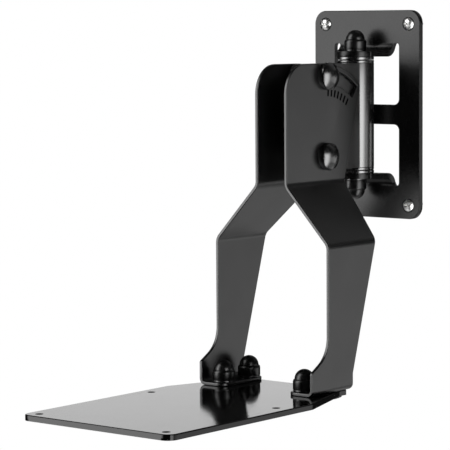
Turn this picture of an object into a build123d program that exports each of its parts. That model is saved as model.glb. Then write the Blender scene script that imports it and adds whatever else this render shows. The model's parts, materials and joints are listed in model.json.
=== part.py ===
from build123d import *
import math
import os

# Speaker wall bracket, in millimetres.
# Frame: X to the right, Y towards the wall, Z up.
# Origin: on the back of the wall plate, at the centre of its four screws.

# Wall plate: one sheet with two windows and two tabs bent out of them.
plate_width = 118
plate_height = 190
plate_thickness = 5
plate_corner_radius = 12
plate_edge_round = 0.6
screw_inset = 12.5
screw_hole_diameter = 6
window_width = 72.6
window_bar_height = 18
window_corner_radius = 5.5
tab_root_width = 59
tab_bend_radius = 7.5
tab_nose_radius = 17
tab_neck_radius = 1.2
tab_bore_clearance = 0.25

# Wall screws with raised countersunk heads.
screw_diameter = 5
screw_neck_diameter = 5.4
screw_length_behind = 18
screw_tip_length = 4
screw_tip_diameter = 1.5
screw_head_diameter = 11
screw_head_rise = 3
screw_rim_gap = 0.8
cross_width = 1.5
cross_length = 6.2
cross_depth = 3

# Swivel: an upright tube on a bolt between the tabs.
swivel_axis_distance = 22.4
tube_diameter = 34
tube_bore = 26
tube_length = 95
bolt_diameter = 8
bore_clearance = 0.05
running_gap = 0.3
bush_flange_thickness = 2.4
bush_depth = 15
thrust_ring_thickness = 2.8
ring_round = 0.7

# Nuts, washers and the domed caps over the nuts.
nut_width = 13
nut_height = 6.5
washer_diameter = 19.6
washer_thickness = 1.6
cap_diameter = 20.2
cap_dome_diameter = 17.2
cap_collar_height = 9
cap_shoulder_height = 2.4
cap_shoulder_width = 1.1
cap_height = 17.7
cap_groove = 0.8
cap_socket_gap = 0.1
bolt_past_nut = 2.5

# Tilt: two cheeks welded to the tube, between the arms.
arm_thickness = 3
arm_outer_width = 35
cheek_thickness = 4
spacer_thickness = 1.2
spacer_diameter = 20
cheek_front_y = -107
cheek_corner_radius = 13
pivot_y = -90.7
pivot_inset = 12.9
lock_inset = 10.9
tilt_range = 30
slot_width = 12.6
slot_spare_angle = 2.5
neck_diameter = 10
dome_diameter = 24.4
dome_rim = 5
dome_height = 10.4
dome_edge_round = 2.2
sleeve_diameter = 16

# Arms: bent sheets, seen from the side and from the front. Heights go down from the tube.
arm_above_tube = 0.3
arm_front_y = -148.3
arm_front_top_radius = 26
arm_rear_corner_radius = 10
arm_rear_y_at_zero = -46.4
arm_rear_slope = 0.3
shoulder_below_tube = 11
shoulder_height = 49
leg_height = 128.9
leg_outer_width = 126
arm_bend_radius = 8
foot_bend_radius = 3
foot_front_y = -172.4
foot_rear_height = 14.4
foot_flare_radius = 26
foot_flare_angle = 60
foot_nose_height = 20.9
foot_nose_radius = 2.5
foot_width = 28
foot_corner_radius = 8.5
tick_count = 7
tick_first_angle = 3
tick_step_angle = 5
tick_below_slot = 5
tick_length = 6
tick_width = 1.3
tick_depth = 0.3

# Shelf plate.
shelf_thickness = 5
shelf_width = 162
shelf_length = 265.9
shelf_taper_length = 70.3
shelf_neck_inset = 5.7
shelf_neck_length = 9.8
shelf_rear_inset = 2.6
shelf_corner_radius = 9
shelf_kink_radius = 5
shelf_edge_round = 1
shelf_hole_diameter = 6.5
shelf_hole_spacing_x = 138
shelf_hole_spacing_y = 141
shelf_hole_front = 9.8

# Foot bolts: two in each foot, put in from below.
foot_bolt_inset = 18
foot_bolt_front_inset = 12.4
foot_bolt_rear_inset = 11
foot_head_diameter = 22
foot_head_rim = 1.4
foot_head_height = 4.2
foot_head_edge_round = 0.8

# Values that follow from the ones above.
screw_spacing_x = plate_width - 2 * screw_inset
screw_spacing_z = plate_height - 2 * screw_inset
axis_y = -swivel_axis_distance
tube_end_z = tube_length / 2
tab_gap = tube_length + 2 * (bush_flange_thickness + running_gap + thrust_ring_thickness)
tab_top_z = tab_gap / 2 + plate_thickness
tab_bend_z = tab_top_z + tab_bend_radius
tab_bend_y = -plate_thickness - tab_bend_radius
slot_relief = (window_width - tab_root_width) / 2
panel_inner_x = arm_outer_width / 2 - arm_thickness
cheek_outer_x = panel_inner_x - running_gap - spacer_thickness
pivot_z = pivot_inset - tube_end_z
lock_z = tube_end_z - lock_inset
lock_spacing = lock_z - pivot_z
tick_middle_radius = lock_spacing - slot_width / 2 - tick_below_slot - tick_length / 2
arm_top_z = tube_end_z + arm_above_tube
shoulder_top_z = -tube_end_z - shoulder_below_tube
shoulder_bottom_z = shoulder_top_z - shoulder_height
shelf_top_z = shoulder_bottom_z - leg_height
shelf_under_z = shelf_top_z - shelf_thickness
foot_nose_z = shelf_top_z + foot_nose_height
foot_inner_edge = leg_outer_width / 2 - foot_width
foot_bolt_x = leg_outer_width / 2 - foot_bolt_inset
foot_rear_y = arm_rear_y_at_zero + arm_rear_slope * (shelf_top_z + foot_rear_height)
foot_bolt_front_y = foot_front_y + foot_bolt_front_inset
foot_bolt_rear_y = foot_rear_y - foot_bolt_rear_inset
shelf_rear_y = foot_rear_y - shelf_rear_inset
shelf_neck_y = shelf_rear_y - shelf_neck_length
shelf_kink_y = shelf_neck_y - shelf_taper_length
shelf_front_y = shelf_rear_y - shelf_length
shelf_neck_width = leg_outer_width - 2 * shelf_neck_inset
bore_radius = bolt_diameter / 2 + bore_clearance
neck_bore_radius = neck_diameter / 2 + bore_clearance


def tube_between(outer, inner, bottom, top):
    """Upright ring on the Z axis."""
    ring = Circle(outer / 2) - Circle(inner / 2)
    return extrude(Pos(0, 0, bottom) * ring, top - bottom)


def running_ring(bottom, top):
    """Ring as wide as the tube, with rounded rims, that turns round the swivel bolt."""
    ring = tube_between(tube_diameter, 2 * bore_radius, bottom, top)
    rims = ring.edges().filter_by(GeomType.CIRCLE).sort_by(SortBy.RADIUS)[-2:]
    return fillet(rims, ring_round)


def revolved(points):
    """Solid turned about the Z axis from (radius, height) points."""
    outline = make_face(Polyline(*points, close=True))
    return revolve(Plane.XZ * outline, Axis.Z)


def hex_nut(hole=bolt_diameter):
    """Nut that stands on the XY plane, with turned corners."""
    flats = extrude(RegularPolygon(nut_width / 2, 6, major_radius=False), nut_height)
    corner = nut_width / math.sqrt(3)
    side = nut_width / 2
    fall = (corner - side) * math.tan(math.radians(30))
    envelope = revolved([(0, 0), (corner, 0), (corner, nut_height - fall), (side, nut_height),
                         (0, nut_height)])
    return flats & envelope - Cylinder(hole / 2, 3 * nut_height)


def crown_arc(radius, base, top):
    """Arc of a ball's cap from (radius, base) to (0, top)."""
    rise = top - base
    ball = (radius ** 2 + rise ** 2) / (2 * rise)
    middle = math.asin(min(1, radius / ball)) / 2
    return ThreePointArc((radius, base),
                         (ball * math.sin(middle), top - ball * (1 - math.cos(middle))), (0, top))


def nut_cap():
    """Hollow domed cap that stands on the XY plane over a nut."""
    collar, dome = cap_diameter / 2, cap_dome_diameter / 2
    groove_z = cap_collar_height
    shoulder_z = groove_z - cap_shoulder_height
    dome_z = cap_height - dome
    profile = make_face([
        Line((0, 0), (collar, 0)),
        Line((collar, 0), (collar, shoulder_z)),
        TangentArc((collar, shoulder_z), (collar - cap_shoulder_width, groove_z),
                   tangent=(0, 1)),
        Line((collar - cap_shoulder_width, groove_z), (dome - cap_groove, groove_z)),
        Line((dome - cap_groove, groove_z), (dome - cap_groove, groove_z + cap_groove)),
        Line((dome - cap_groove, groove_z + cap_groove), (dome, groove_z + cap_groove)),
        Line((dome, groove_z + cap_groove), (dome, dome_z)),
        CenterArc((0, dome_z), dome, 0, 90),
        Line((0, cap_height), (0, 0)),
    ])
    body = revolve(Plane.XZ * profile, Axis.Z)
    socket = extrude(RegularPolygon(nut_width / 2 + cap_socket_gap, 6, major_radius=False),
                     nut_height + cap_socket_gap)
    bolt_room = Cylinder(bolt_diameter / 2 + running_gap, nut_height + bolt_past_nut + running_gap,
                         align=(Align.CENTER, Align.CENTER, Align.MIN))
    return body - socket - bolt_room


def dome_head(diameter, rim, height, edge_round):
    """Flat-based dome that stands on the XY plane."""
    radius = diameter / 2
    profile = make_face([
        Line((0, 0), (radius, 0)),
        Line((radius, 0), (radius, rim)),
        crown_arc(radius, rim, height),
        Line((0, height), (0, 0)),
    ])
    profile = fillet(profile.vertices().sort_by_distance((radius, rim))[0], edge_round)
    return revolve(Plane.XZ * profile, Axis.Z)


def tab(direction):
    """Bent tab with a round nose; direction is 1 above and -1 below."""
    middle = plate_thickness / 2
    reach = swivel_axis_distance + 2 * tab_nose_radius
    path = FilletPolyline((-middle, tab_bend_z + middle), (-middle, tab_gap / 2 + middle),
                          (-reach, tab_gap / 2 + middle), radius=tab_bend_radius + middle)
    section = trace(path, line_width=plate_thickness)
    sheet = extrude(Plane.YZ * section, tab_root_width / 2, both=True)
    root = tab_root_width / 2
    plan = make_face(Polyline((root, 0), (root, tab_bend_y), (tab_nose_radius, axis_y),
                              (-tab_nose_radius, axis_y), (-root, tab_bend_y), (-root, 0),
                              close=True))
    plan = plan + Pos(0, axis_y) * Circle(tab_nose_radius)
    necks = [plan.vertices().sort_by_distance((side * tab_nose_radius, axis_y))[0]
             for side in (-1, 1)]
    plan = fillet(necks, tab_neck_radius)
    shape = sheet & extrude(plan, 2 * plate_height, both=True)
    shape -= Pos(0, axis_y, tab_gap / 2) * Cylinder(bolt_diameter / 2 + tab_bore_clearance,
                                                     4 * plate_thickness)
    return shape if direction > 0 else mirror(shape, Plane.XY)


def wall_plate():
    face = RectangleRounded(plate_width, plate_height, plate_corner_radius)
    bottom = window_bar_height / 2
    height = tab_bend_z - bottom
    window = Pos(0, bottom + height / 2) * Rectangle(window_width, height)
    window = fillet(window.vertices().group_by(Axis.Y)[0], window_corner_radius)
    for side in (-1, 1):
        end = Pos(side * (window_width - slot_relief) / 2, tab_bend_z - slot_relief / 2)
        window -= end * Pos(0, slot_relief / 4) * Rectangle(slot_relief, slot_relief / 2)
        window += end * Circle(slot_relief / 2)
    face -= window
    face -= mirror(window, Plane.XZ)
    plate = extrude(Plane.XZ * face, plate_thickness)
    front = plate.faces().sort_by(Axis.Y)[0]
    plate = chamfer(front.outer_wire().edges(), plate_edge_round)
    for x in (-1, 1):
        for z in (-1, 1):
            spot = Pos(x * screw_spacing_x / 2, 0, z * screw_spacing_z / 2)
            plate -= spot * Rot(90, 0, 0) * Cylinder(screw_hole_diameter / 2, 4 * plate_thickness)
            rim = screw_head_diameter / 2 + screw_rim_gap
            depth = rim - screw_hole_diameter / 2
            sink = Cone(screw_hole_diameter / 2, rim, depth)
            plate -= spot * Pos(0, -plate_thickness + depth / 2, 0) * Rot(90, 0, 0) * sink
    return plate + tab(1) + tab(-1)


def wall_screw():
    """Screw along +Y with its head's rim on the plate's front face."""
    head, neck, shank = screw_head_diameter / 2, screw_neck_diameter / 2, screw_diameter / 2
    tip = screw_tip_diameter / 2
    total = plate_thickness + screw_length_behind
    profile = make_face([
        Line((0, 0), (0, total)),
        Line((0, total), (tip, total)),
        Line((tip, total), (shank, total - screw_tip_length)),
        Line((shank, total - screw_tip_length), (shank, plate_thickness)),
        Line((shank, plate_thickness), (neck, plate_thickness)),
        Line((neck, plate_thickness), (neck, head - neck)),
        Line((neck, head - neck), (head, 0)),
        mirror(crown_arc(head, 0, screw_head_rise), Plane.XZ),
        Line((0, -screw_head_rise), (0, 0)),
    ])
    body = revolve(profile, Axis.Y)
    for turn in (45, 135):
        slot = Box(cross_length, cross_depth, cross_width)
        body -= Pos(0, -screw_head_rise + cross_depth / 2, 0) * Rot(0, turn, 0) * slot
    return Pos(0, -plate_thickness, 0) * body


def arm():
    """Right arm: the bent section seen from the front, cut to its side outline."""
    half = arm_thickness / 2
    panel_x = arm_outer_width / 2 - half
    leg_x = leg_outer_width / 2 - half
    foot_z = shelf_top_z + half
    split_z = shelf_top_z + foot_nose_height
    upper = FilletPolyline((panel_x, arm_top_z + half), (panel_x, shoulder_top_z),
                           (leg_x, shoulder_bottom_z), (leg_x, split_z),
                           radius=arm_bend_radius + half)
    lower = FilletPolyline((leg_x, split_z), (leg_x, foot_z), (foot_inner_edge, foot_z),
                           radius=foot_bend_radius + half)
    section = trace(upper, line_width=arm_thickness) + trace(lower, line_width=arm_thickness)
    sheet = extrude(Plane.XZ * section, -2 * arm_front_y)

    crown = arm_top_z - pivot_z
    def rear_y(z):
        return arm_rear_y_at_zero + arm_rear_slope * z
    straight_z = shelf_top_z + foot_rear_height
    turn = math.radians(foot_flare_angle)
    flare_y = arm_front_y - foot_flare_radius * (1 - math.cos(turn))
    rise = (flare_y - foot_front_y) / math.tan(turn)
    flare_z = foot_nose_z + rise
    flare_top_z = flare_z + foot_flare_radius * math.sin(turn)
    outline = make_face([
        Line((arm_front_y, arm_top_z), (pivot_y, arm_top_z)),
        Line((pivot_y, arm_top_z), (rear_y(arm_top_z), arm_top_z)),
        Line((rear_y(arm_top_z), arm_top_z), (foot_rear_y, straight_z)),
        Line((foot_rear_y, straight_z), (foot_rear_y, shelf_top_z)),
        Line((foot_rear_y, shelf_top_z), (foot_front_y, shelf_top_z)),
        Line((foot_front_y, shelf_top_z), (foot_front_y, foot_nose_z)),
        Line((foot_front_y, foot_nose_z), (flare_y, flare_z)),
        CenterArc((arm_front_y - foot_flare_radius, flare_top_z), foot_flare_radius,
                  -foot_flare_angle, foot_flare_angle),
        Line((arm_front_y, flare_top_z), (arm_front_y, arm_top_z)),
    ])
    def corner(y, z):
        return outline.vertices().sort_by_distance((y, z))[0]
    outline = fillet(corner(arm_front_y, arm_top_z), arm_front_top_radius)
    outline = fillet(corner(foot_front_y, foot_nose_z), foot_nose_radius)
    above = Pos(pivot_y + crown, pivot_z + crown) * Rectangle(2 * crown, 2 * crown)
    outside = above - Pos(pivot_y, pivot_z) * Circle(crown)
    outline -= outside & Pos(pivot_y + crown, arm_top_z) * Rectangle(2 * crown, 2 * crown)
    upper_corners = [v for v in outline.vertices() if v.Y > lock_z - crown / 2]
    outline = fillet(max(upper_corners, key=lambda v: v.X), arm_rear_corner_radius)

    neck_angle = math.degrees(slot_width / 2 / lock_spacing)
    rear_angle = tilt_range + neck_angle + slot_spare_angle
    arc = CenterArc((pivot_y, pivot_z), lock_spacing, 90 - rear_angle, rear_angle + neck_angle)
    outline -= trace(arc, line_width=slot_width)
    outline -= Pos(pivot_y, pivot_z) * Circle(neck_bore_radius)
    shape = sheet & extrude(Plane.YZ * outline, leg_outer_width)

    for y in (foot_bolt_front_y, foot_bolt_rear_y):
        shape -= Pos(foot_bolt_x, y, shelf_top_z) * Cylinder(bore_radius, 4 * arm_thickness)
    inner = [e for e in shape.edges().filter_by(Axis.Z)
             if e.center().X < foot_inner_edge + arm_thickness
             and e.center().Z < shelf_top_z + arm_thickness]
    shape = fillet(inner, foot_corner_radius)
    face_x = arm_outer_width / 2
    for i in range(tick_count):
        angle = tick_first_angle + i * tick_step_angle
        mark = Pos(0, 0, tick_middle_radius)
        mark *= Box(2 * tick_depth, tick_width, tick_length)
        shape -= Pos(face_x, pivot_y, pivot_z) * Rot(-angle, 0, 0) * mark
    return shape


def cheek():
    """Right cheek of the tilt bracket, its rear edge cut to the tube."""
    outline = make_face(Polyline(
        (axis_y, -tube_end_z), (cheek_front_y, -tube_end_z),
        (cheek_front_y, tube_end_z), (axis_y, tube_end_z), close=True))
    outline = fillet(outline.vertices().group_by(Axis.X)[0], cheek_corner_radius)
    plate = extrude(Plane.YZ * outline, cheek_thickness)
    plate = Pos(cheek_outer_x - cheek_thickness, 0, 0) * plate
    plate -= Pos(0, axis_y, 0) * Cylinder(tube_diameter / 2, 2 * tube_length)
    bore = Rot(0, 90, 0) * Cylinder(bore_radius, 4 * cheek_thickness)
    for z in (pivot_z, lock_z):
        plate -= Pos(cheek_outer_x, pivot_y, z) * bore
    return plate


def shelf():
    half, neck = shelf_width / 2, shelf_neck_width / 2
    outline = make_face(Polyline(
        (-half, shelf_front_y), (half, shelf_front_y), (half, shelf_kink_y),
        (neck, shelf_neck_y), (neck, shelf_rear_y), (-neck, shelf_rear_y),
        (-neck, shelf_neck_y), (-half, shelf_kink_y), close=True))
    outline = fillet(outline.vertices().group_by(Axis.Y)[0], shelf_corner_radius)
    outline = fillet([v for v in outline.vertices() if abs(v.Y - shelf_kink_y) < 0.01],
                     shelf_kink_radius)
    plate = extrude(Pos(0, 0, shelf_under_z) * outline, shelf_thickness)
    plate = fillet(plate.faces().sort_by(Axis.Z)[-1].outer_wire().edges(), shelf_edge_round)
    front = shelf_front_y + shelf_hole_front
    for x in (-1, 1):
        for y in (front, front + shelf_hole_spacing_y):
            plate -= Pos(x * shelf_hole_spacing_x / 2, y, shelf_top_z) * Cylinder(
                shelf_hole_diameter / 2, 4 * shelf_thickness)
        for y in (foot_bolt_front_y, foot_bolt_rear_y):
            plate -= Pos(x * foot_bolt_x, y, shelf_top_z) * Cylinder(bore_radius, 4 * shelf_thickness)
    return plate


def side_bolt(z):
    """Dome-head bolt, sleeve, washer, nut and cap across both arms at one height."""
    outer = arm_outer_width / 2 + running_gap
    seat = Pos(outer, pivot_y, z) * Rot(0, 90, 0)
    far = Pos(-outer, pivot_y, z) * Rot(0, -90, 0)
    length = 2 * outer + washer_thickness + nut_height + bolt_past_nut
    lowered = (Align.CENTER, Align.CENTER, Align.MAX)
    neck_length = outer - cheek_outer_x
    shank = Cylinder(bolt_diameter / 2, length, align=lowered)
    shank += Cylinder(neck_diameter / 2, neck_length, align=lowered)
    sleeve = Cylinder(sleeve_diameter / 2, 2 * (cheek_outer_x - cheek_thickness))
    sleeve -= Cylinder(bore_radius, arm_outer_width)
    spacer = tube_between(spacer_diameter, 2 * neck_bore_radius, -spacer_thickness, 0)
    inward = running_gap + arm_thickness + running_gap
    washer = tube_between(washer_diameter, 2 * bore_radius, 0, washer_thickness)
    washer += tube_between(neck_diameter, 2 * bore_radius, -neck_length, 0)
    return {
        "bolt": seat * (dome_head(dome_diameter, dome_rim, dome_height, dome_edge_round) + shank),
        "sleeve": Pos(0, pivot_y, z) * Rot(0, 90, 0) * sleeve,
        "right_spacer": seat * Pos(0, 0, -inward) * spacer,
        "left_spacer": far * Pos(0, 0, -inward) * spacer,
        "washer": far * washer,
        "nut": far * Pos(0, 0, washer_thickness) * hex_nut(),
        "cap": far * Pos(0, 0, washer_thickness) * nut_cap(),
    }


parts = {"wall_plate": wall_plate()}

corners = [(-1, 1), (1, 1), (-1, -1), (1, -1)]
for number, (x, z) in enumerate(corners, 1):
    place = Pos(x * screw_spacing_x / 2, 0, z * screw_spacing_z / 2)
    parts[f"wall_screw_{number}"] = place * wall_screw()

# Swivel hardware on the wall plate: bolt, washers, nuts and caps at both ends.
stack_top = tab_top_z + washer_thickness
swivel_axis = Pos(0, axis_y, 0)
half_bolt = stack_top + nut_height + bolt_past_nut
parts["swivel_bolt"] = swivel_axis * Cylinder(bolt_diameter / 2, 2 * half_bolt)
for name, flip in (("upper", Rot(0, 0, 0)), ("lower", Rot(180, 0, 0))):
    end = swivel_axis * flip
    ring = tube_between(washer_diameter, 2 * bore_radius, tab_top_z, stack_top)
    thrust = running_ring(tab_gap / 2 - thrust_ring_thickness, tab_gap / 2)
    parts[f"{name}_washer"] = end * ring
    parts[f"{name}_thrust_ring"] = end * thrust
    parts[f"{name}_nut"] = end * Pos(0, 0, stack_top) * hex_nut()
    parts[f"{name}_cap"] = end * Pos(0, 0, stack_top) * nut_cap()

# Swivel body: tube with a flanged bush in each end, and the two cheeks.
parts["swivel_tube"] = swivel_axis * tube_between(tube_diameter, tube_bore,
                                                  -tube_end_z, tube_end_z)
for name, flip in (("upper", Rot(0, 0, 0)), ("lower", Rot(180, 0, 0))):
    bush = tube_between(tube_bore, 2 * bore_radius, tube_end_z - bush_depth, tube_end_z)
    bush += running_ring(tube_end_z, tube_end_z + bush_flange_thickness)
    parts[f"{name}_bush"] = swivel_axis * flip * bush
parts["right_cheek"] = cheek()
parts["left_cheek"] = mirror(parts["right_cheek"], Plane.YZ)
for name, z in (("pivot", pivot_z), ("lock", lock_z)):
    for piece, shape in side_bolt(z).items():
        parts[f"{name}_{piece}"] = shape

# Arms body: both arms, the shelf and the foot bolts.
parts["right_arm"] = arm()
parts["left_arm"] = mirror(parts["right_arm"], Plane.YZ)
parts["shelf"] = shelf()
flange_top = shelf_top_z + arm_thickness
for side, sign in (("left", -1), ("right", 1)):
    for end, y in (("front", foot_bolt_front_y), ("rear", foot_bolt_rear_y)):
        spot = Pos(sign * foot_bolt_x, y, 0)
        reach = flange_top + washer_thickness + nut_height + bolt_past_nut - shelf_under_z
        shank = Cylinder(bolt_diameter / 2, reach, align=(Align.CENTER, Align.CENTER, Align.MIN))
        head = dome_head(foot_head_diameter, foot_head_rim, foot_head_height,
                         foot_head_edge_round)
        top = spot * Pos(0, 0, flange_top)
        parts[f"foot_bolt_{side}_{end}"] = spot * Pos(0, 0, shelf_under_z) * (
            shank + Rot(180, 0, 0) * head)
        parts[f"foot_washer_{side}_{end}"] = top * tube_between(
            washer_diameter, 2 * bore_radius, 0, washer_thickness)
        parts[f"foot_nut_{side}_{end}"] = top * Pos(0, 0, washer_thickness) * hex_nut()
        parts[f"foot_cap_{side}_{end}"] = top * Pos(0, 0, washer_thickness) * nut_cap()

os.makedirs("parts", exist_ok=True)
for name, shape in parts.items():
    export_step(shape, f"parts/{name}.step")
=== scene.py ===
import json
import math

import bpy
from mathutils import Matrix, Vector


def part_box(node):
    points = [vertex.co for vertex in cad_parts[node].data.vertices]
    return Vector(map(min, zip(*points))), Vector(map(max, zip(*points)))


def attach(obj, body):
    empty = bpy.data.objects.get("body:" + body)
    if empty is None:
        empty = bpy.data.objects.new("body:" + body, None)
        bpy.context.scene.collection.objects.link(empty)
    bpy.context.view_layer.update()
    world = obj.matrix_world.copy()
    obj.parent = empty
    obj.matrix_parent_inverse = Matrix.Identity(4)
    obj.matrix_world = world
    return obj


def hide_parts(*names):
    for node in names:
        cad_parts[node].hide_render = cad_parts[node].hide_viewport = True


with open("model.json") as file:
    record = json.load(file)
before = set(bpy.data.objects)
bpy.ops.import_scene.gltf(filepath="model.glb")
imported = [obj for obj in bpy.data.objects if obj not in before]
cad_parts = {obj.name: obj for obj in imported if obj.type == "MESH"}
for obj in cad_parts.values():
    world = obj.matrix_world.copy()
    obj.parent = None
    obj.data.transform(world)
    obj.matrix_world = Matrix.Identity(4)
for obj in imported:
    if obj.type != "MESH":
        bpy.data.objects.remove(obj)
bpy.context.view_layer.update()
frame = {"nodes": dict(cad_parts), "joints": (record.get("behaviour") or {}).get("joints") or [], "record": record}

nodes = frame["nodes"]
joints = {joint["name"]: joint for joint in frame["joints"]}
mounts = {mount["name"]: mount for mount in frame["record"]["mounts"]}

# Lengths are in metres and angles in degrees.
MM = 0.001
JOIN_DISTANCE = 0.004 * MM
# The soft edge of the near-black painted as shade in the ticks and the shelf's holes.
PAINTED_SHADE_EDGE = 0.1 * MM

# The tilt scale: its ticks stand round the tilt pivot, on the arms' outer faces.
# The shade in their grooves is painted as a flat near-black.
PIVOT_Y, PIVOT_Z = joints["tilt"]["pos_m"][1:]
TICKS, TICK_FIRST, TICK_STEP = 7, 3, 5
TICK_LOW, TICK_HIGH, TICK_HALF_WIDTH = 53.7 * MM, 60.2 * MM, 1.12 * MM
SCALE_END_SOFT = 0.01
OUTER_SIDE_X, OUTER_SIDE_SOFT = 16.95 * MM, 0.15 * MM

# The shelf's four punched holes. Their walls and lips are painted near-black, as the shade
# inside the holes, out to the radius below.
HOLE_MIDDLE_Y = mounts["shelf_holes"]["pos_m"][1]
HOLE_X = mounts["shelf_holes"]["dims"]["spacing_x_mm"] / 2 * MM
HOLE_HALF_Y = mounts["shelf_holes"]["dims"]["spacing_y_mm"] / 2 * MM
HOLE_SHADE_RADIUS = 3.5 * MM

# Rounded edges: the arms' sheet is rolled, and the other pieces have their edges broken.
# Faces that turn by less than FLAT_TURN are one face, those under SMOOTH_TURN shade as one
# surface, and an edge is sharp over SHARP_TURN.
ARM_EDGE_ROUND = 0.7 * MM
SHEET_EDGE_ROUND = {"wall_plate": 0.5 * MM, "shelf": 0.5 * MM,
                    "right_cheek": 0.4 * MM, "left_cheek": 0.4 * MM}
SMALL_EDGE_ROUND = 0.25 * MM
FLAT_TURN, SMOOTH_TURN, SHARP_TURN = 0.5, 34, 38

# The wall screws' threads: a ridge that winds along +Y behind the plate.
WALL_SCREWS = 4
THREAD_CREST, THREAD_HEIGHT, THREAD_PITCH = 2.9 * MM, 1.1 * MM, 1.8 * MM
THREAD_START, THREAD_TURNS, THREAD_STEPS = 1.2 * MM, 7, 20

# The studio. A strength of 1 renders as white.
WHITE, ROOM_LIGHT, DARK_ROOM, FLOOR_GLOW = 1.0, 0.5, 0.03, 0.68
FLOOR_Z, FLOOR_SIZE = -1.6, 9

# The camera: level along +Y, then turned about +Z, tipped down and rolled to the
# photograph's viewing angle.
CAMERA_PLACE = (1.2294, -1.7195, 0.0832)
CAMERA_TURN, CAMERA_DOWN, CAMERA_ROLL = 39.2024, 5.0227, -0.3528
CAMERA_LENS_MM, CAMERA_SENSOR_MM = 182.766, 36
CAMERA_NEAR, CAMERA_FAR = 0.1, 60


class Value:
    """One output of a shader node, so that sums and products can be written in Python."""

    def __init__(self, tree, socket):
        self.tree, self.socket = tree, socket

    def math(self, operation, *others):
        """This value and others through a Math node."""
        return self.tree.node("ShaderNodeMath", {"operation": operation},
                              dict(enumerate((self,) + others)))

    def __add__(self, other):
        return self.math("ADD", other)

    def __sub__(self, other):
        return self.math("SUBTRACT", other)

    def __rsub__(self, other):
        return self.tree.node("ShaderNodeMath", {"operation": "SUBTRACT"}, {0: other, 1: self})

    def __mul__(self, other):
        return self.math("MULTIPLY", other)

    def __truediv__(self, other):
        return self.math("DIVIDE", other)

    __radd__ = __add__
    __rmul__ = __mul__

    def rise(self, low, high):
        """0 below low, 1 above high, smooth between."""
        return self.tree.node("ShaderNodeMapRange", {"interpolation_type": "SMOOTHSTEP"},
                              {"Value": self, "From Min": low, "From Max": high})

    def band(self, low, high, soft):
        """1 between low and high, falling to 0 over soft on each side."""
        return self.rise(low - soft, low) * (1 - self.rise(high, high + soft))

    def inside(self, edge, soft):
        """1 below edge and 0 above it, soft to each side."""
        return 1 - self.rise(edge - soft, edge + soft)

    def sway(self, amount):
        """Noise, which lies about 0.5, as a change up and down."""
        return (self - 0.5) * amount

    def output(self, name):
        """Another output of the same node."""
        return Value(self.tree, self.socket.node.outputs[name])


class Tree:
    """A node tree that is built one node at a time."""

    def __init__(self, tree):
        self.tree = tree
        tree.nodes.clear()

    def node(self, kind, settings=None, inputs=None):
        """Adds a node with its settings, then its sockets' values or links."""
        made = self.tree.nodes.new(kind)
        for name, value in (settings or {}).items():
            setattr(made, name, value)
        for name, value in (inputs or {}).items():
            if isinstance(value, Value):
                self.tree.links.new(value.socket, made.inputs[name])
            else:
                made.inputs[name].default_value = value
        outputs = [socket for socket in made.outputs if socket.enabled]
        return Value(self, outputs[0]) if outputs else None


def grey(level):
    return (level, level, level, 1)


def new_material(name):
    material = bpy.data.materials.new(name)
    material.use_nodes = True
    return material, Tree(material.node_tree)


def powder_coat(name, shade, roughness, peel=0.25, grain=0.12, shade_change=0.15, ior=1.55,
                painted_shade_mask=None):
    """Black powder coat: fine grain, a soft orange peel and faint cloudy changes of gloss.

    An optional mask function takes the tree and the place on the part, and gives 1 where a
    flat near-black is painted as the shade inside a groove or a hole.
    """
    material, tree = new_material(name)
    place = tree.node("ShaderNodeTexCoord").output("Object")
    clouds = tree.node("ShaderNodeTexNoise", {},
                       {"Vector": place, "Scale": 38, "Detail": 3, "Roughness": 0.55})
    peel_noise = tree.node("ShaderNodeTexNoise", {}, {"Vector": place, "Scale": 420, "Detail": 2})
    grain_noise = tree.node("ShaderNodeTexNoise", {},
                            {"Vector": place, "Scale": 2100, "Detail": 2})
    bump = tree.node("ShaderNodeBump", {}, {
        "Strength": 0.35,
        "Distance": 0.12 * MM,
        "Height": peel_noise * peel + grain_noise * grain,
    })
    darker, lighter = grey(shade * (1 - shade_change)), grey(shade * (1 + shade_change))
    colour = tree.node("ShaderNodeMix", {"data_type": "RGBA"},
                       {0: clouds, 6: darker, 7: lighter}).output(2)
    coat = tree.node("ShaderNodeBsdfPrincipled", {}, {
        "Base Color": colour,
        "Roughness": roughness + clouds.sway(0.08) + grain_noise.sway(0.04),
        "Normal": bump,
        "IOR": ior,
    })
    if painted_shade_mask:
        # Painted shade: a flat near-black without gloss stands in for the shade in grooves and holes.
        paint = tree.node("ShaderNodeBsdfDiffuse", {}, {"Color": grey(0.001), "Roughness": 1})
        coat = tree.node("ShaderNodeMixShader", {}, {0: painted_shade_mask(tree, place), 1: coat, 2: paint})
    tree.node("ShaderNodeOutputMaterial", {}, {"Surface": coat})
    return material


def tick_groove_shade(tree, place):
    """The tilt scale's ticks round the pivot bolt, below the slot: painted groove shade."""
    axes = tree.node("ShaderNodeSeparateXYZ", {}, {0: place})
    y, z = axes.output("Y") - PIVOT_Y, axes.output("Z") - PIVOT_Z
    radius = (y * y + z * z).math("SQRT")
    angle = y.math("ARCTAN2", z) * (180 / math.pi)
    turns = (angle - TICK_FIRST) / TICK_STEP + 0.5
    across = (turns.math("FRACT") - 0.5) * math.radians(TICK_STEP) * radius
    on_tick = across.math("ABSOLUTE").inside(TICK_HALF_WIDTH, PAINTED_SHADE_EDGE)
    in_length = radius.band(TICK_LOW, TICK_HIGH, PAINTED_SHADE_EDGE)
    in_scale = turns.rise(-SCALE_END_SOFT, SCALE_END_SOFT) * turns.inside(TICKS, SCALE_END_SOFT)
    outer_side = 1 - axes.output("X").math("ABSOLUTE").inside(OUTER_SIDE_X, OUTER_SIDE_SOFT)
    return on_tick * in_length * in_scale * outer_side


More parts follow.
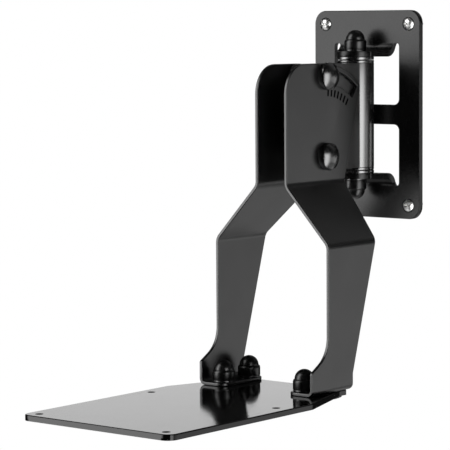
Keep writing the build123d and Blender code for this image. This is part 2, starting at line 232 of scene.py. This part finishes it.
def hole_shade(tree, place):
    """The walls and lips of the shelf's four holes, painted near-black as the shade inside them."""
    axes = tree.node("ShaderNodeSeparateXYZ", {}, {0: place})
    across = axes.output("X").math("ABSOLUTE") - HOLE_X
    along = (axes.output("Y") - HOLE_MIDDLE_Y).math("ABSOLUTE") - HOLE_HALF_Y
    away = (across * across + along * along).math("SQRT")
    return away.inside(HOLE_SHADE_RADIUS, PAINTED_SHADE_EDGE)


def smooth_plastic(name, shade, roughness, ior=1.5, scuff=0.06):
    """Moulded black plastic with faint handling scuffs."""
    material, tree = new_material(name)
    place = tree.node("ShaderNodeTexCoord").output("Object")
    scuffs = tree.node("ShaderNodeTexNoise", {}, {"Vector": place, "Scale": 160, "Detail": 4})
    bump = tree.node("ShaderNodeBump", {},
                     {"Strength": 0.15, "Distance": 0.06 * MM, "Height": scuffs})
    shell = tree.node("ShaderNodeBsdfPrincipled", {}, {
        "Base Color": grey(shade),
        "Roughness": roughness + scuffs.sway(scuff),
        "Normal": bump,
        "IOR": ior,
    })
    tree.node("ShaderNodeOutputMaterial", {}, {"Surface": shell})
    return material


def plated_steel(name, colour, roughness, cloudiness=0.12):
    """Zinc-plated steel with a cloudy plate."""
    material, tree = new_material(name)
    place = tree.node("ShaderNodeTexCoord").output("Object")
    clouds = tree.node("ShaderNodeTexNoise", {}, {"Vector": place, "Scale": 260, "Detail": 5})
    bump = tree.node("ShaderNodeBump", {},
                     {"Strength": 0.2, "Distance": 0.05 * MM, "Height": clouds})
    metal = tree.node("ShaderNodeBsdfPrincipled", {}, {
        "Base Color": colour,
        "Metallic": 1.0,
        "Roughness": roughness + clouds.sway(cloudiness),
        "Normal": bump,
    })
    tree.node("ShaderNodeOutputMaterial", {}, {"Surface": metal})
    return material


plate_coat = powder_coat("plate_powder_coat", 0.003, 0.27, ior=1.285)
arm_coat = powder_coat("arm_powder_coat", 0.003, 0.34, ior=1.5, painted_shade_mask=tick_groove_shade)
cheek_coat = powder_coat("cheek_powder_coat", 0.003, 0.36, ior=1.75)
tube_coat = powder_coat("tube_powder_coat", 0.004, 0.26, peel=0.12, ior=1.85)
shelf_coat = powder_coat("shelf_powder_coat", 0.003, 0.09, peel=0.08, ior=1.28, painted_shade_mask=hole_shade)
black_steel = powder_coat("black_steel", 0.004, 0.3, peel=0.1)
cap_plastic = smooth_plastic("cap_plastic", 0.003, 0.3, ior=1.36)
ring_plastic = smooth_plastic("ring_plastic", 0.003, 0.2, ior=1.85)
dome_black = smooth_plastic("dome_black_finish", 0.003, 0.24, ior=1.7)
bright_zinc = plated_steel("bright_zinc", (0.86, 0.86, 0.85, 1), 0.34)
dull_zinc = plated_steel("dull_zinc", (0.55, 0.56, 0.56, 1), 0.35)

# A piece's finish goes by its whole name, or else by the first of these words in it. What
# has none of them, such as a nut or a sleeve, is dull zinc.
PIECE_FINISHES = {
    "wall_plate": plate_coat,
    "right_arm": arm_coat,
    "left_arm": arm_coat,
    "right_cheek": cheek_coat,
    "left_cheek": cheek_coat,
    "swivel_tube": tube_coat,
    "shelf": shelf_coat,
    "pivot_bolt": dome_black,
    "lock_bolt": dome_black,
}
WORD_FINISHES = {
    "cap": cap_plastic,
    "bush": ring_plastic,
    "thrust": ring_plastic,
    "spacer": ring_plastic,
    "wall_screw": bright_zinc,
    "washer": black_steel,
    "foot_bolt": black_steel,
}


def finish_of(name):
    """The finish of a CAD node."""
    if name in PIECE_FINISHES:
        return PIECE_FINISHES[name]
    for word, finish in WORD_FINISHES.items():
        if word in name:
            return finish
    return dull_zinc


def dress(name):
    """Gives a CAD node its finish and small rounded edges."""
    node = nodes[name]
    node.data.materials.clear()
    node.data.materials.append(finish_of(name))
    join = node.modifiers.new("join", "WELD")
    join.merge_threshold = JOIN_DISTANCE
    edge_round = node.modifiers.new("edge_round", "BEVEL")
    edge_round.width = SHEET_EDGE_ROUND.get(name, SMALL_EDGE_ROUND)
    edge_round.segments = 2
    edge_round.limit_method = "ANGLE"
    edge_round.angle_limit = math.radians(SHARP_TURN)
    edge_round.harden_normals = False


def only(piece):
    """Makes piece the one selected object."""
    bpy.ops.object.select_all(action="DESELECT")
    piece.select_set(True)
    bpy.context.view_layer.objects.active = piece


def near_scale(point):
    """Whether a point lies in or beside the stamped ticks, whose edges stay sharp."""
    away = math.hypot(point.y - PIVOT_Y, point.z - PIVOT_Z)
    return TICK_LOW - MM < away < TICK_HIGH + MM


def rolled_arm(name):
    """An arm in its CAD form, merged, with the rolled edges of coated sheet steel."""
    piece = bpy.data.objects.new(name + "_sheet", nodes[name].data.copy())
    bpy.context.scene.collection.objects.link(piece)
    only(piece)
    bpy.ops.object.mode_set(mode="EDIT")
    bpy.ops.mesh.select_mode(type="EDGE")
    bpy.ops.mesh.select_all(action="SELECT")
    bpy.ops.mesh.remove_doubles(threshold=JOIN_DISTANCE)
    bpy.ops.mesh.dissolve_limited(angle_limit=math.radians(FLAT_TURN))
    bpy.ops.mesh.select_all(action="DESELECT")
    bpy.ops.mesh.edges_select_sharp(sharpness=math.radians(SHARP_TURN))
    bpy.ops.object.mode_set(mode="OBJECT")
    points = piece.data.vertices
    rolled = [edge.select and not all(near_scale(points[end].co) for end in edge.vertices)
              for edge in piece.data.edges]
    # Points and faces are cleared too, because they would select the ticks' edges again.
    for elements in (points, piece.data.polygons):
        elements.foreach_set("select", [False] * len(elements))
    piece.data.edges.foreach_set("select", rolled)
    bpy.ops.object.mode_set(mode="EDIT")
    bpy.ops.mesh.bevel(offset=ARM_EDGE_ROUND, segments=3, clamp_overlap=False)
    bpy.ops.object.mode_set(mode="OBJECT")
    bpy.ops.object.shade_smooth_by_angle(angle=math.radians(SMOOTH_TURN))
    flat_faces = piece.modifiers.new("flat_faces", "WEIGHTED_NORMAL")
    flat_faces.weight = 100
    flat_faces.keep_sharp = True
    bpy.ops.object.modifier_apply(modifier=flat_faces.name)
    return piece


def screw_thread():
    """One wall screw's thread on the Y axis: a three-sided ridge wound by a Screw modifier."""
    ridge_radius = THREAD_HEIGHT * 2 / 3
    bpy.ops.object.select_all(action="DESELECT")
    bpy.ops.mesh.primitive_circle_add(
        vertices=3, radius=ridge_radius, rotation=(0, 0, -math.pi / 2),
        location=(THREAD_CREST - ridge_radius, THREAD_START, 0))
    thread = bpy.context.object
    only(thread)
    bpy.ops.object.transform_apply()
    winding = thread.modifiers.new("winding", "SCREW")
    winding.axis = "Y"
    winding.screw_offset = THREAD_PITCH
    winding.iterations = THREAD_TURNS
    winding.steps = winding.render_steps = THREAD_STEPS
    bpy.ops.object.modifier_apply(modifier=winding.name)
    bpy.ops.object.mode_set(mode="EDIT")
    bpy.ops.mesh.select_all(action="SELECT")
    bpy.ops.mesh.fill_holes(sides=3)
    bpy.ops.mesh.select_all(action="SELECT")
    bpy.ops.mesh.normals_make_consistent(inside=False)
    bpy.ops.object.mode_set(mode="OBJECT")
    thread.data.materials.clear()
    thread.data.materials.append(bright_zinc)
    return thread


def thread_on(screw, pattern):
    """A copy of the pattern thread, moved onto a wall screw's axis."""
    low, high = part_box(screw)
    thread = bpy.data.objects.new(screw + "_thread", pattern.data.copy())
    bpy.context.scene.collection.objects.link(thread)
    only(thread)
    bpy.ops.transform.translate(value=((low[0] + high[0]) / 2, 0, (low[2] + high[2]) / 2))
    bpy.ops.object.transform_apply()
    return thread


def pale_floor():
    """A plain floor below the bracket, white to the camera and left out of reflections."""
    bpy.ops.object.select_all(action="DESELECT")
    bpy.ops.mesh.primitive_plane_add(size=FLOOR_SIZE, location=(0, 0, FLOOR_Z))
    floor = bpy.context.object
    floor.name = "floor"
    material, tree = new_material("pale_floor")
    paint = tree.node("ShaderNodeBsdfDiffuse", {}, {"Color": grey(0.8)})
    glow = tree.node("ShaderNodeEmission", {}, {"Color": grey(1), "Strength": FLOOR_GLOW})
    lit = tree.node("ShaderNodeAddShader", {}, {0: paint, 1: glow})
    seen = tree.node("ShaderNodeLightPath").output("Is Camera Ray")
    shader = tree.node("ShaderNodeMixShader", {}, {0: seen, 1: paint, 2: lit})
    tree.node("ShaderNodeOutputMaterial", {}, {"Surface": shader})
    floor.data.materials.append(material)
    floor.visible_glossy = False
    return floor


def light_studio():
    """White all round for the camera, lamps and pale walls in reflections, and even light.

    Each lamp or wall covers a range of turn, counted from +X about +Z, and of height above
    the horizon. Its last factor is its strength.
    """
    world = bpy.data.worlds.new("studio")
    bpy.context.scene.world = world
    world.use_nodes = True
    world.cycles.sampling_method = "NONE"
    tree = Tree(world.node_tree)
    towards = tree.node("ShaderNodeTexCoord").output("Generated")
    axes = tree.node("ShaderNodeSeparateXYZ", {}, {0: towards})
    x, y, z = axes.output("X"), axes.output("Y"), axes.output("Z")
    turn = y.math("ARCTAN2", x) * (180 / math.pi)
    height = z.math("ARCSINE") * (180 / math.pi)
    left_lamp = turn.band(-133, -126, soft=26) * height.band(-14, 45, soft=8) * 7.6
    window = turn.rise(-33, -27) * (1 - turn.rise(-12, 17)) * height.band(-58, 13, soft=10) * 8
    side_wall = turn.band(16, 61, soft=4) * height.band(-24, -3, soft=5) * 1.7
    far_wall = turn.band(124, 142, soft=2) * height.band(2, 14, soft=2) * 1.36
    open_turn = turn.rise(10, 22) + 1 - turn.rise(-106, -96)
    open_floor = open_turn * (1 - height.rise(-36, -22)) * 0.7
    ceiling = turn.band(50, 110, soft=20) * height.rise(16, 30) * 0.25
    studio = left_lamp + window + side_wall + far_wall + open_floor + ceiling + DARK_ROOM
    rays = tree.node("ShaderNodeLightPath")
    camera_ray, glossy_ray = rays.output("Is Camera Ray"), rays.output("Is Glossy Ray")
    clear_ray = rays.output("Is Transmission Ray")
    other_ray = (1 - camera_ray) * (1 - glossy_ray) * (1 - clear_ray)
    strength = (camera_ray * WHITE + glossy_ray * studio + clear_ray * WHITE
                + other_ray * ROOM_LIGHT)
    back = tree.node("ShaderNodeBackground", {}, {"Color": grey(1), "Strength": strength})
    tree.node("ShaderNodeOutputWorld", {}, {"Surface": back})


def aim_camera():
    """The camera at the photograph's viewing angle."""
    camera = bpy.data.objects.new("camera", bpy.data.cameras.new("camera"))
    bpy.context.scene.collection.objects.link(camera)
    camera.data.sensor_width = CAMERA_SENSOR_MM
    camera.data.lens = CAMERA_LENS_MM
    camera.data.clip_start, camera.data.clip_end = CAMERA_NEAR, CAMERA_FAR
    turn = Matrix.Rotation(math.radians(CAMERA_TURN), 4, "Z")
    tip = Matrix.Rotation(math.radians(90 - CAMERA_DOWN), 4, "X")
    roll = Matrix.Rotation(math.radians(CAMERA_ROLL), 4, "Z")
    camera.matrix_world = Matrix.Translation(CAMERA_PLACE) @ turn @ tip @ roll
    bpy.context.scene.camera = camera


for name in nodes:
    dress(name)

for name in ("right_arm", "left_arm"):
    arm = rolled_arm(name)
    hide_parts(name)
    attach(arm, "arms")

pattern_thread = screw_thread()
for number in range(1, WALL_SCREWS + 1):
    thread = thread_on(f"wall_screw_{number}", pattern_thread)
    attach(thread, "wall")
bpy.data.objects.remove(pattern_thread)

floor = pale_floor()
light_studio()
aim_camera()
bpy.context.scene.view_settings.view_transform = "Standard"
